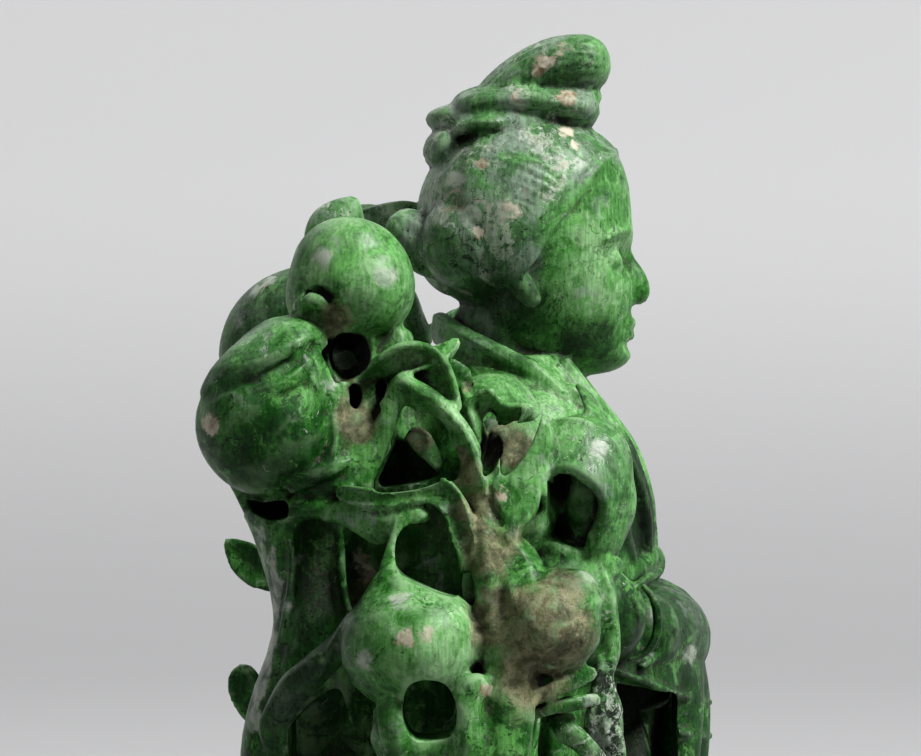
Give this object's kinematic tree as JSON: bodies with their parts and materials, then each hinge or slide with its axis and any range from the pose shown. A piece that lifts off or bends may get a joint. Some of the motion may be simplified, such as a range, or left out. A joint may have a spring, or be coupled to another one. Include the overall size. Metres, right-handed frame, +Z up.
{
  "type": "guanyin figure",
  "caption": "Standing guanyin carved in one piece of mottled green stone, cuffs joined before the waist, with a fruiting peach branch up the right side, on a low rock base.",
  "frame": {"origin": "on the underside, below the middle of the figure's robe", "axes": "+Z up, the figure faces -Y, its right hand side with the peach branch is towards -X"},
  "size_m": [0.1417, 0.0972, 0.3196],
  "materials": {
    "green_stone": "polished, mottled bright to dark green with cream and rust patches, grey-brown dirt in the hollows"
  },
  "bodies": {
    "root": {"guanyin_figure": "green_stone"}
  },
  "joints": []
}
